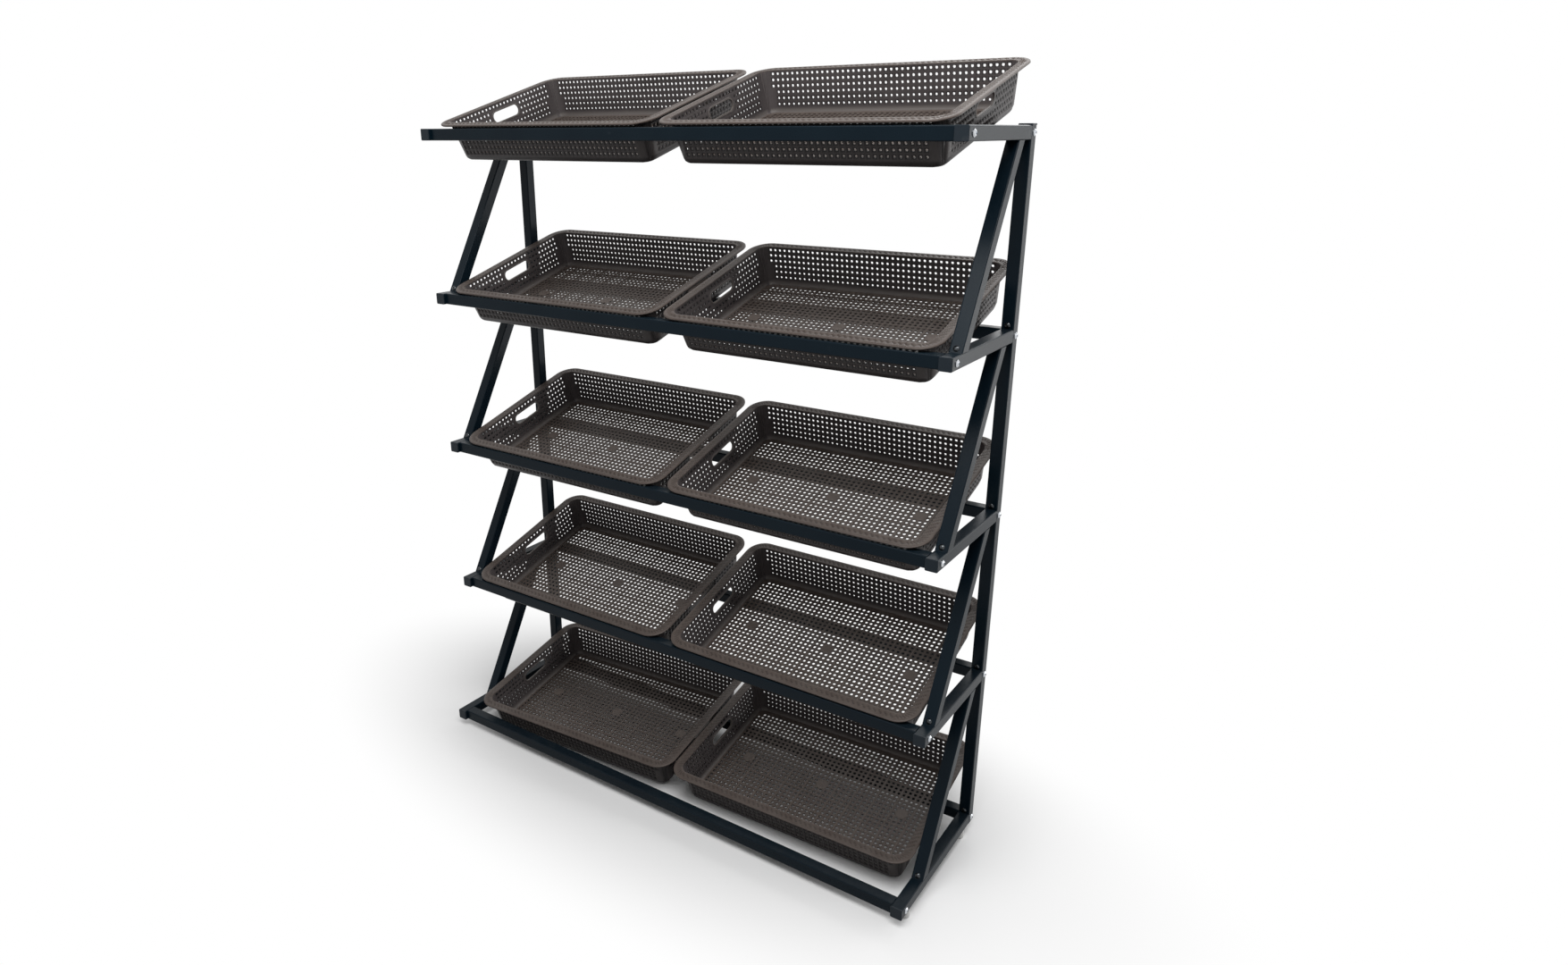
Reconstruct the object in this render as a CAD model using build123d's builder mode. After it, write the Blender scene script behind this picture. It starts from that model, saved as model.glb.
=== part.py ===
from build123d import *
import os
from math import asin, atan2, cos, hypot, pi, radians, sin, tan

# Produce display rack: two stepped side frames of square tube, joined by rails, carry tilted baskets.
# Lengths are millimetres and angles degrees. The shopper stands at -Y, +Z is up and the floor is zero.

# Square steel tube
tube = 25.0
tube_wall = 1.5
tube_corner = 2.5

# Side frames: the arms reach forward from the posts, and a strut props each arm from the arm below
tier_count = 5
tier_pitch = 365.0
upper_arm_length = 296.0
bottom_arm_extra = 57.0
rail_setback = 7.5
strut_top_setback = 60.0
strut_foot_setback = 41.0

# Clearances
slip_clearance = 0.25
thread_clearance = 0.1
bolt_clearance = 0.4
rest_gap = 0.3

# Round glides pushed into the bottom arms
foot_height = 20.0
foot_diameter = 24.0
foot_edge = 1.5
foot_stem_diameter = 8.0
foot_stem_length = 12.0
front_foot_setback = 40.0
rear_foot_setback = 25.0

# Plastic plugs in the arm ends and plastic caps on the posts
plug_head = 3.0
plug_bolt_gap = 4.0
cap_head = 3.0
cap_overhang = 1.0
cap_bolt_gap = 2.5
end_chamfer = 0.8

# Button head bolts that pull the rails against the side frames, and the threaded inserts in the rails
bolt_diameter = 8.0
bolt_grip = 14.0
bolt_head_diameter = 13.0
bolt_head_height = 4.5
bolt_head_edge = 1.2
bolt_socket = 5.0
bolt_socket_depth = 2.5
insert_length = 18.0

# Pan head screws that lock each stacked unit of a side frame to the unit below
screw_diameter = 5.0
screw_grip = 4.0
screw_head_diameter = 11.0
screw_head_height = 3.2
screw_head_edge = 1.0
screw_head_gap = 1.5
screw_slot_length = 5.0
screw_slot_width = 1.2
screw_slot_depth = 1.4

# Pieces hidden in the joints: tube spigots in the posts and wedge lugs in the strut feet
spigot_wall = 2.0
spigot_bottom_gap = 3.0
spigot_rise = 30.0
inner_corner = 1.2
lug_top_gap = 3.5
lug_rear_room = 7.0

# Baskets, with a flat rim around sloping walls
rim_length = 600.0
rim_depth = 400.0
rim_corner = 45.0
rim_width = 19.5
rim_thickness = 4.0
basket_height = 88.0
basket_wall = 2.5
basket_floor = 3.0
floor_inset = 31.0
floor_corner = 24.0
floor_edge = 12.0
hand_slot_length = 90.0
hand_slot_height = 24.0
hand_slot_drop = 30.0

# Plain grids of openings in the baskets' floors and walls
length_openings = 11
depth_openings = 7
wall_opening_rows = 2
open_share = 0.55
opening_margin = 8.0
wall_opening_margin = 2.5

# Places of the baskets: upper ones lean on both rails, bottom ones on the rear rail and the floor
basket_gap = 14.0
basket_side_gap = 8.0
rim_gap = 3.0
left_bottom_side_gap = 10.0
left_bottom_reach = 281.5
left_bottom_turn = 3.4
right_bottom_side_gap = 3.0
right_bottom_reach = 241.5
right_bottom_turn = 1.6

# Sizes that follow from the ones above
tube_bore = tube - 2 * tube_wall
bore_corner = tube_corner - tube_wall
inner_size = tube_bore - 2 * slip_clearance
bolt_hole = bolt_diameter + 2 * bolt_clearance
bolt_thread = bolt_diameter + 2 * thread_clearance
screw_hole = screw_diameter + 2 * bolt_clearance
screw_thread = screw_diameter + 2 * thread_clearance
screw_height = screw_head_diameter / 2 + screw_head_gap
screw_length = tube_wall + slip_clearance + screw_grip
inner_width = 2 * (rim_length + basket_side_gap) + basket_gap
rack_width = inner_width + 2 * tube
bottom_arm_length = upper_arm_length + bottom_arm_extra
bolt_setback = rail_setback + tube / 2
plug_depth = bolt_setback - bolt_diameter / 2 - plug_head - plug_bolt_gap
cap_depth = tube / 2 - bolt_diameter / 2 - cap_bolt_gap
strut_foot_reach = upper_arm_length - strut_foot_setback
strut_rise = tier_pitch - tube
strut_lean = atan2(strut_foot_reach - strut_top_setback, strut_rise)
strut_section = tube / cos(strut_lean)
strut_bore = strut_section - 2 * tube_wall / cos(strut_lean)
lug_height = 2 * screw_height + lug_top_gap
lug_depth = strut_bore - lug_rear_room
lug_width = tube_bore - 2 * bore_corner
floor_length = rim_length - 2 * floor_inset
floor_depth = rim_depth - 2 * floor_inset
wall_length = rim_length - 2 * rim_width
wall_depth = rim_depth - 2 * rim_width
wall_corner = rim_corner - rim_width
wall_draft = atan2(floor_inset - rim_width, basket_height)
floor_edge_inset = floor_edge / tan(pi / 4 + wall_draft / 2)
length_cell = (floor_length - 2 * opening_margin) / length_openings
depth_cell = (floor_depth - 2 * opening_margin) / depth_openings
wall_opening_bottom = floor_edge + wall_opening_margin
wall_opening_top = basket_height - rim_thickness - wall_opening_margin
wall_cell = (wall_opening_top - wall_opening_bottom) / wall_opening_rows
length_opening = length_cell * open_share
depth_opening = depth_cell * open_share
wall_opening = wall_cell * open_share
sides = {"left": -1, "right": 1}
tiers = range(1, tier_count + 1)
stacked_tiers = range(1, tier_count)
bottom_side_gap = {"left": left_bottom_side_gap, "right": right_bottom_side_gap}
bottom_reach = {"left": left_bottom_reach, "right": right_bottom_reach}
bottom_turn = {"left": radians(left_bottom_turn), "right": radians(right_bottom_turn)}


def spread(length, depth, corner, turn):
    """Half extent, along its depth's first direction, of a rounded rectangle turned in its own plane."""
    return (length / 2 - corner) * sin(turn) + (depth / 2 - corner) * cos(turn) + corner


def upper_rest():
    """Slope, depth and height of an upper basket's floor centre, from the post face and the arm top.

    The floor lies on the rear rail's front edge, the front wall leans on the front rail's rear edge,
    and the rim stands clear above the front rail.
    """
    contact = tube_corner + rest_gap
    rim_level = basket_height - rim_thickness - rim_gap + rest_gap
    slope = asin(rim_level / (upper_arm_length - rail_setback))
    rail_edge = upper_arm_length - rail_setback - tube + tube_corner
    floor_level = contact - tube_corner * (sin(slope) + cos(slope))
    edge_level = rail_edge * sin(slope) - tube_corner * cos(slope) - floor_level
    wall_reach = floor_depth / 2 + (contact + sin(wall_draft) * edge_level) / cos(wall_draft)
    along = wall_reach - rail_edge * cos(slope) - tube_corner * sin(slope)
    depth = along * cos(slope) - floor_level * sin(slope)
    height = along * sin(slope) + floor_level * cos(slope)
    return slope, depth, height


def bottom_rest(reach, turn):
    """Slope, depth and height of a bottom basket's floor centre, from the post face and the arm top.

    The floor lies on the rear rail's front edge, and its rounded front edge comes down to the ground.
    """
    contact = tube_corner + rest_gap
    edge_level = floor_edge + rest_gap
    run = reach + tube_corner
    rise = foot_height + tube - tube_corner - edge_level
    slope = atan2(rise, run) + asin((contact + floor_edge) / hypot(run, rise))
    flat_reach = spread(floor_length, floor_depth, floor_corner, turn) - floor_edge_inset
    depth = flat_reach * cos(slope) + floor_edge * sin(slope) - reach
    height = flat_reach * sin(slope) - floor_edge * cos(slope) + edge_level - foot_height - tube
    return slope, depth, height


def rear_edge(rest, turn):
    """Distance of a basket's rear rim behind the post face."""
    slope, depth, height = rest
    half_rim = spread(rim_length, rim_depth, rim_corner, turn)
    return depth + half_rim * cos(slope) - (basket_height - rim_thickness) * sin(slope)


# The frame is centred in depth between the bottom arms' front ends and the rearmost basket rim
bottom_rests = {name: bottom_rest(bottom_reach[name], bottom_turn[name]) for name in sides}
rear_edges = [rear_edge(bottom_rests[name], bottom_turn[name]) for name in sides]
rear_edges.append(rear_edge(upper_rest(), 0))
post_front = (bottom_arm_length - max(rear_edges)) / 2
post_middle = post_front + tube / 2


def arm_length(tier):
    """Length of an arm with its end plug."""
    return bottom_arm_length if tier == 1 else upper_arm_length


def arm_top(tier):
    """Height of an arm's top face above the floor."""
    return foot_height + tube + (tier - 1) * tier_pitch


def arm_middle(tier):
    """Height of the middle of an arm, of its rails and of their bolts."""
    return arm_top(tier) - tube / 2


def arm_front(tier):
    """Depth of an arm's front end."""
    return post_front - arm_length(tier)


def side_middle(side):
    """Middle of a side frame across the rack."""
    return side * (rack_width - tube) / 2


def foot_places(side):
    """Places of the two glides under a bottom arm."""
    front = (side_middle(side), arm_front(1) + front_foot_setback)
    rear = (side_middle(side), post_front - rear_foot_setback)
    return front, rear


def cross_plane(side, depth, tier):
    """Plane square to the rails, through the middle of a side frame."""
    return Plane(origin=(side_middle(side), depth, arm_middle(tier)), z_dir=(1, 0, 0))


def bolt_seat(side, depth, tier):
    """Plane on a side frame's outer face, where a rail bolt's head sits."""
    origin = (side * rack_width / 2, depth, arm_middle(tier))
    return Plane(origin=origin, x_dir=(0, 1, 0), z_dir=(side, 0, 0))


def post_screw_seat(side, tier):
    """Plane on a post's front face, where the screw just above an arm sits."""
    origin = (side_middle(side), post_front, arm_top(tier) + screw_height)
    return Plane(origin=origin, x_dir=(1, 0, 0), z_dir=(0, -1, 0))


def strut_screw_seat(side, tier):
    """Plane on a strut's leaning front face, where the screw just above an arm sits."""
    depth = post_front - strut_foot_reach + screw_height * tan(strut_lean)
    origin = (side_middle(side), depth, arm_top(tier) + screw_height)
    return Plane(origin=origin, x_dir=(1, 0, 0), z_dir=(0, -cos(strut_lean), sin(strut_lean)))


def tube_section(depth=tube, bore_depth=tube_bore):
    """Draw the hollow square section of the tube, or the section of a strut cut level."""
    RectangleRounded(tube, depth, tube_corner)
    RectangleRounded(tube_bore, bore_depth, bore_corner, mode=Mode.SUBTRACT)


def fastener_profile(seat, shank_diameter, shank_length, head_diameter, head_height, head_edge):
    """Half outline of a fastener whose domed head sits on a plane, to be turned about its middle."""
    shank = shank_diameter / 2
    head = head_diameter / 2
    dome_rise = head_height - head_edge
    dome = (head**2 + dome_rise**2) / (2 * dome_rise)
    half_way = asin(head / dome) / 2
    dome_point = (dome * sin(half_way), head_height - dome * (1 - cos(half_way)))
    with BuildSketch(Plane(origin=seat.origin, x_dir=seat.x_dir, z_dir=-seat.y_dir)) as profile:
        with BuildLine():
            Polyline((0, head_height), (0, -shank_length), (shank, -shank_length), (shank, 0), (head, 0))
            Line((head, 0), (head, head_edge))
            ThreePointArc((head, head_edge), dome_point, (0, head_height))
        make_face()
    return profile.sketch


def turn_bolt(seat):
    """Add one rail bolt with a hexagon socket to the part being built."""
    outline = fastener_profile(
        seat, bolt_diameter, tube + bolt_grip, bolt_head_diameter, bolt_head_height, bolt_head_edge
    )
    revolve(outline, axis=Axis(seat.origin, seat.z_dir))
    with BuildSketch(seat.offset(bolt_head_height)) as socket:
        RegularPolygon(bolt_socket / 2, 6, major_radius=False)
    extrude(socket.sketch, amount=-bolt_socket_depth, mode=Mode.SUBTRACT)


def turn_screw(seat):
    """Add one locking screw with a crossed recess to the part being built."""
    outline = fastener_profile(
        seat, screw_diameter, screw_length, screw_head_diameter, screw_head_height, screw_head_edge
    )
    revolve(outline, axis=Axis(seat.origin, seat.z_dir))
    with BuildSketch(seat.offset(screw_head_height)) as recess:
        Rectangle(screw_slot_length, screw_slot_width)
        Rectangle(screw_slot_width, screw_slot_length)
    extrude(recess.sketch, amount=-screw_slot_depth, mode=Mode.SUBTRACT)


def save(piece, name):
    """Label a finished piece and write it to its own file."""
    piece.part.label = name
    export_step(piece.part, f"parts/{name}.step")


os.makedirs("parts", exist_ok=True)

# Arms: each butts the front face of a post and is crossed by the bolt of a front rail
for side_name, side in sides.items():
    for tier in tiers:
        with BuildPart() as arm:
            rear_end = Plane(origin=(side_middle(side), post_front, arm_middle(tier)), z_dir=(0, -1, 0))
            with BuildSketch(rear_end):
                tube_section()
            extrude(amount=arm_length(tier) - plug_head)
            with BuildSketch(cross_plane(side, arm_front(tier) + bolt_setback, tier)):
                Circle(bolt_hole / 2)
            extrude(amount=tube, both=True, mode=Mode.SUBTRACT)
            if tier == 1:
                with BuildSketch(Plane.XY.offset(foot_height)):
                    with Locations(*foot_places(side)):
                        Circle(foot_stem_diameter / 2 + slip_clearance)
                extrude(amount=tube_wall, mode=Mode.SUBTRACT)
        save(arm, f"{side_name}_arm_{tier}")

# Post bases: short stubs behind the bottom arms
for side_name, side in sides.items():
    with BuildPart() as post_base:
        with BuildSketch(Plane.XY.offset(foot_height)):
            with Locations((side_middle(side), post_middle)):
                tube_section()
        extrude(amount=tube)
        with BuildSketch(cross_plane(side, post_middle, 1)):
            Circle(bolt_hole / 2)
        extrude(amount=tube, both=True, mode=Mode.SUBTRACT)
    save(post_base, f"{side_name}_post_base")

# Posts: one length for each tier, from the top of an arm to the top of the next
for side_name, side in sides.items():
    for tier in stacked_tiers:
        with BuildPart() as post:
            with BuildSketch(Plane.XY.offset(arm_top(tier))):
                with Locations((side_middle(side), post_middle)):
                    tube_section()
            extrude(amount=tier_pitch)
            with BuildSketch(cross_plane(side, post_middle, tier + 1)):
                Circle(bolt_hole / 2)
            extrude(amount=tube, both=True, mode=Mode.SUBTRACT)
            with BuildSketch(post_screw_seat(side, tier)):
                Circle(screw_hole / 2)
            extrude(amount=-2 * tube_wall, mode=Mode.SUBTRACT)
        save(post, f"{side_name}_post_{tier}")

# Struts: cut level at both ends, from the top of an arm to the underside of the next
for side_name, side in sides.items():
    for tier in stacked_tiers:
        with BuildPart() as strut:
            foot_middle = post_front - strut_foot_reach + strut_section / 2
            with BuildSketch(Plane(origin=(side_middle(side), foot_middle, arm_top(tier)))):
                tube_section(strut_section, strut_bore)
            extrude(amount=strut_rise / cos(strut_lean), dir=(0, sin(strut_lean), cos(strut_lean)))
            with BuildSketch(strut_screw_seat(side, tier)):
                Circle(screw_hole / 2)
            extrude(amount=-2 * tube_wall, mode=Mode.SUBTRACT)
        save(strut, f"{side_name}_strut_{tier}")

# Rails: front rails lie between the arms and rear rails between the posts
for tier in tiers:
    rail_places = {"front": arm_front(tier) + bolt_setback, "rear": post_middle}
    for rail_name, depth in rail_places.items():
        with BuildPart() as rail:
            with BuildSketch(Plane(origin=(-inner_width / 2, depth, arm_middle(tier)), z_dir=(1, 0, 0))):
                tube_section()
            extrude(amount=inner_width)
        save(rail, f"{rail_name}_rail_{tier}")

# Threaded inserts fixed in the ends of every rail
with BuildPart() as rail_inserts:
    for side in sides.values():
        for tier in tiers:
            for depth in (arm_front(tier) + bolt_setback, post_middle):
                rail_end = (side * inner_width / 2, depth, arm_middle(tier))
                with BuildSketch(Plane(origin=rail_end, z_dir=(-side, 0, 0))):
                    RectangleRounded(inner_size, inner_size, inner_corner)
                    Circle(bolt_thread / 2, mode=Mode.SUBTRACT)
                extrude(amount=insert_length)
save(rail_inserts, "rail_inserts")

# Bolts through the arms into the front rails
with BuildPart() as front_rail_bolts:
    for side in sides.values():
        for tier in tiers:
            turn_bolt(bolt_seat(side, arm_front(tier) + bolt_setback, tier))
save(front_rail_bolts, "front_rail_bolts")

# Bolts through the posts and their spigots into the rear rails
with BuildPart() as rear_rail_bolts:
    for side in sides.values():
        for tier in tiers:
            turn_bolt(bolt_seat(side, post_middle, tier))
save(rear_rail_bolts, "rear_rail_bolts")

# Spigots: square tubes that stand in one post length and take the next
with BuildPart() as post_spigots:
    for side in sides.values():
        for tier in stacked_tiers:
            with BuildSketch(Plane.XY.offset(arm_top(tier) - tube + spigot_bottom_gap)):
                with Locations((side_middle(side), post_middle)):
                    RectangleRounded(inner_size, inner_size, inner_corner)
                    Rectangle(
                        inner_size - 2 * spigot_wall, inner_size - 2 * spigot_wall, mode=Mode.SUBTRACT
                    )
            extrude(amount=tube - spigot_bottom_gap + spigot_rise)
            with BuildSketch(cross_plane(side, post_middle, tier)):
                Circle(bolt_hole / 2)
            extrude(amount=tube, both=True, mode=Mode.SUBTRACT)
            with BuildSketch(post_screw_seat(side, tier)):
                Circle(screw_thread / 2)
            extrude(amount=-tube / 2, mode=Mode.SUBTRACT)
save(post_spigots, "post_spigots")

# Screws through the posts' front faces into the spigots
with BuildPart() as post_screws:
    for side in sides.values():
        for tier in stacked_tiers:
            turn_screw(post_screw_seat(side, tier))
save(post_screws, "post_screws")

# Lugs: wedges welded on the arms, which the strut feet come down over
with BuildPart() as strut_lugs:
    for side in sides.values():
        for tier in stacked_tiers:
            lug_front = post_front - strut_foot_reach + (tube_wall + slip_clearance) / cos(strut_lean)
            lug_foot = (side_middle(side), lug_front, arm_top(tier))
            lug_lean = lug_height * tan(strut_lean)
            with BuildSketch(Plane(origin=lug_foot, x_dir=(0, 1, 0), z_dir=(1, 0, 0))):
                with BuildLine():
                    lug_corners = [(0, 0), (lug_depth, 0), (lug_depth, lug_height), (lug_lean, lug_height)]
                    Polyline(*lug_corners, close=True)
                make_face()
            extrude(amount=lug_width / 2, both=True)
            with BuildSketch(strut_screw_seat(side, tier)):
                Circle(screw_thread / 2)
            extrude(amount=-screw_length, mode=Mode.SUBTRACT)
save(strut_lugs, "strut_lugs")

# Screws through the struts' front faces into the lugs
with BuildPart() as strut_screws:
    for side in sides.values():
        for tier in stacked_tiers:
            turn_screw(strut_screw_seat(side, tier))
save(strut_screws, "strut_screws")

# Plugs that close the front ends of the arms
with BuildPart() as arm_end_plugs:
    for side in sides.values():
        for tier in tiers:
            arm_end = (side_middle(side), arm_front(tier), arm_middle(tier))
            front_end = Plane(origin=arm_end, z_dir=(0, 1, 0))
            with BuildSketch(front_end):
                RectangleRounded(tube, tube, tube_corner)
            extrude(amount=plug_head)
            chamfer(arm_end_plugs.faces(Select.LAST).sort_by(Axis.Y)[0].edges(), end_chamfer)
            with BuildSketch(front_end.offset(plug_head)):
                RectangleRounded(inner_size, inner_size, inner_corner)
            extrude(amount=plug_depth)
save(arm_end_plugs, "arm_end_plugs")

# Caps on the posts
with BuildPart() as post_caps:
    for side in sides.values():
        cap_seat = Plane(origin=(side_middle(side), post_middle, arm_top(tier_count)))
        with BuildSketch(cap_seat):
            RectangleRounded(tube + 2 * cap_overhang, tube + 2 * cap_overhang, tube_corner + cap_overhang)
        extrude(amount=cap_head)
        chamfer(post_caps.faces(Select.LAST).sort_by(Axis.Z)[-1].edges(), end_chamfer)
        with BuildSketch(cap_seat):
            RectangleRounded(inner_size, inner_size, inner_corner)
        extrude(amount=-cap_depth)
save(post_caps, "post_caps")

# Glides under the bottom arms
with BuildPart() as feet:
    places = [place for side in sides.values() for place in foot_places(side)]
    with BuildSketch():
        with Locations(*places):
            Circle(foot_diameter / 2)
    extrude(amount=foot_height)
    fillet(feet.edges().group_by(Axis.Z)[0], foot_edge)
    with BuildSketch(Plane.XY.offset(foot_height)):
        with Locations(*places):
            Circle(foot_stem_diameter / 2)
    extrude(amount=foot_stem_length)
save(feet, "feet")


def basket_plane(side_name, tier):
    """Plane of a basket's underside, centred on its floor, with its length along the rails."""
    side = sides[side_name]
    if tier == 1:
        turn = bottom_turn[side_name]
        slope, depth, height = bottom_rests[side_name]
        half_length = spread(rim_depth, rim_length, rim_corner, turn)
        middle = side * (inner_width / 2 - bottom_side_gap[side_name] - half_length)
    else:
        turn = 0
        slope, depth, height = upper_rest()
        middle = side * (rim_length + basket_gap) / 2
    length_dir = (cos(turn), sin(turn) * cos(slope), sin(turn) * sin(slope))
    origin = (middle, post_front + depth, arm_top(tier) + height)
    return Plane(origin=origin, x_dir=length_dir, z_dir=(0, -sin(slope), cos(slope)))


def shell_inside(length, depth, corner):
    """Draw the inside of a basket's shell from the outline of its outside."""
    RectangleRounded(length - 2 * basket_wall, depth - 2 * basket_wall, corner - basket_wall)


def end_openings():
    """Places of the openings in an end wall, from the middle of their grid; the hand slot stays clear."""
    reach = (hand_slot_length + depth_cell) / 2
    places = GridLocations(depth_cell, wall_cell, depth_openings, wall_opening_rows).local_locations
    centres = [(place.position.X, place.position.Y) for place in places]
    return [(across, up) for across, up in centres if up < 0 or abs(across) > reach]


# Baskets: a tapering shell under a flat rim, with a hand slot in each end and openings all round
for side_name in sides:
    for tier in tiers:
        underside = basket_plane(side_name, tier)
        rim_top = underside.offset(basket_height)
        floor_top = underside.offset(basket_floor)
        slot_middle = underside.offset(basket_height - hand_slot_drop).origin
        wall_middle = underside.offset((wall_opening_bottom + wall_opening_top) / 2).origin
        with BuildPart() as basket:
            with BuildSketch(underside):
                RectangleRounded(floor_length, floor_depth, floor_corner)
            with BuildSketch(rim_top):
                RectangleRounded(wall_length, wall_depth, wall_corner)
            loft()
            with BuildSketch(rim_top):
                RectangleRounded(rim_length, rim_depth, rim_corner)
            extrude(amount=-rim_thickness)
            with BuildSketch(floor_top):
                shell_inside(floor_length, floor_depth, floor_corner)
            with BuildSketch(rim_top):
                shell_inside(wall_length, wall_depth, wall_corner)
            loft(mode=Mode.SUBTRACT)
            with BuildSketch(Plane(origin=slot_middle, x_dir=underside.y_dir, z_dir=underside.x_dir)):
                SlotOverall(hand_slot_length, hand_slot_height)
            extrude(amount=rim_length / 2, both=True, mode=Mode.SUBTRACT)
            upright = Axis(underside.origin, underside.z_dir)
            outer_floor, inner_floor = basket.faces().filter_by(upright).sort_by(upright)[:2]
            fillet(outer_floor.edges(), floor_edge)
            fillet(inner_floor.edges(), floor_edge - basket_wall)
            with BuildSketch(underside):
                with GridLocations(length_cell, depth_cell, length_openings, depth_openings):
                    Rectangle(length_opening, depth_opening)
            extrude(amount=2 * basket_floor, mode=Mode.SUBTRACT)
            with BuildSketch(Plane(origin=wall_middle, x_dir=underside.x_dir, z_dir=-underside.y_dir)):
                with GridLocations(length_cell, wall_cell, length_openings, wall_opening_rows):
                    Rectangle(length_opening, wall_opening)
            extrude(amount=rim_depth / 2, both=True, mode=Mode.SUBTRACT)
            with BuildSketch(Plane(origin=wall_middle, x_dir=underside.y_dir, z_dir=underside.x_dir)):
                with Locations(*end_openings()):
                    Rectangle(depth_opening, wall_opening)
            extrude(amount=rim_length / 2, both=True, mode=Mode.SUBTRACT)
        save(basket, f"{side_name}_basket_{tier}")
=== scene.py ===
"""Dresses the produce display rack: coated tube frame, fixings, caps, glides and ten woven baskets."""

import logging
import math
from dataclasses import dataclass
from enum import Enum

import bmesh
import bpy
import numpy as np
from mathutils import Matrix, Vector


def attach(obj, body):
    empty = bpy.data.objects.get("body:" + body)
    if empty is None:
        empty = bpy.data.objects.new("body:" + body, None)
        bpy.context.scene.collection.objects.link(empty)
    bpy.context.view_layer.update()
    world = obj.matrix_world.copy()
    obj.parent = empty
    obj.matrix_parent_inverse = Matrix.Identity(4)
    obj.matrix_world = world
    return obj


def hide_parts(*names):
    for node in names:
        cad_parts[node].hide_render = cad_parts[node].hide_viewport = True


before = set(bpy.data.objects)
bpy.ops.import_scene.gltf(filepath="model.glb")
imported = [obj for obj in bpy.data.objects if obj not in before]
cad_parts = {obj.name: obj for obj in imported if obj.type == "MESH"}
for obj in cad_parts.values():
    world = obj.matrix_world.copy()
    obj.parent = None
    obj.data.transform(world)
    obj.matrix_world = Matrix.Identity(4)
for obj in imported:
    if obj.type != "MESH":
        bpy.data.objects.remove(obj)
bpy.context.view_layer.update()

LOG = logging.getLogger("produce_rack")
MM = 0.001
# Distances small enough to count as none, the second one between lines of a flat grid.
SEAM = 1e-6
ON_LINE = 1e-4
WHOLE = (0.0, 1.0)
WHITE = (1.0, 1.0, 1.0, 1.0)
PLACE = "place"
# The point attribute with each basket spot's mark: below 0 darker, mostly painted shade in hollows; above 0
# lighter, painted highlight on proud spots and rubbed wear on the crossings.
SHADE_AND_WEAR_MARKS = "relief"
Colour = tuple[float, float, float]
Pair = tuple[float, float]
Socket = bpy.types.NodeSocket
Inputs = dict[str | int, Socket | float | tuple[float, ...]]
Shell = bmesh.types.BMesh
Face = bmesh.types.BMFace
Corners = list[bmesh.types.BMVert]
Edges = list[bmesh.types.BMEdge]


class Sketch:
    """Adds nodes to one shader tree and joins them by socket."""

    # Where the Mix node takes its share and two colours, and gives their mix.
    MIX_INPUTS = (0, 6, 7)
    MIX_RESULT = 2
    RANGE_INPUTS = ("Value", "From Min", "From Max", "To Min", "To Max")

    def __init__(self, tree: bpy.types.NodeTree) -> None:
        """Keeps the tree that the nodes go into."""
        self.tree = tree

    @classmethod
    def afresh(cls, owner: bpy.types.Material | bpy.types.World) -> "Sketch":
        """Starts on the emptied nodes of a material or world.

        Args:
            owner: The material or world.

        Returns:
            The sketch.
        """
        owner.use_nodes = True
        owner.node_tree.nodes.clear()
        return cls(owner.node_tree)

    def add(self, kind: str, inputs: Inputs | None = None, **settings: object) -> bpy.types.Node:
        """Adds a node.

        Args:
            kind: The node's type name, without the ShaderNode part.
            inputs: Values or sockets for the node's inputs, by name or number.
            **settings: Properties of the node, set before its inputs.

        Returns:
            The new node.
        """
        node = self.tree.nodes.new("ShaderNode" + kind)
        for name, value in settings.items():
            setattr(node, name, value)
        for name, value in (inputs or {}).items():
            if isinstance(value, Socket):
                self.tree.links.new(value, node.inputs[name])
            else:
                node.inputs[name].default_value = value
        return node

    def math(self, operation: str, *values: Socket | float) -> Socket:
        """Adds a Math node and returns its output."""
        return self.add("Math", dict(enumerate(values)), operation=operation).outputs[0]

    def remap(self, value: Socket, span: Pair, onto: Pair) -> Socket:
        """Carries a value smoothly from one span onto another and returns the new value."""
        inputs = dict(zip(self.RANGE_INPUTS, (value, *span, *onto)))
        return self.add("MapRange", inputs, interpolation_type="SMOOTHSTEP").outputs["Result"]

    def tint(self, share: Socket, low: Socket | Colour, high: Socket | Colour) -> Socket:
        """Mixes two colours by a share and returns the mixed colour."""
        values = (share, *(end if isinstance(end, Socket) else (*end, 1.0) for end in (low, high)))
        return self.add("Mix", dict(zip(self.MIX_INPUTS, values)), data_type="RGBA").outputs[self.MIX_RESULT]


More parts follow.
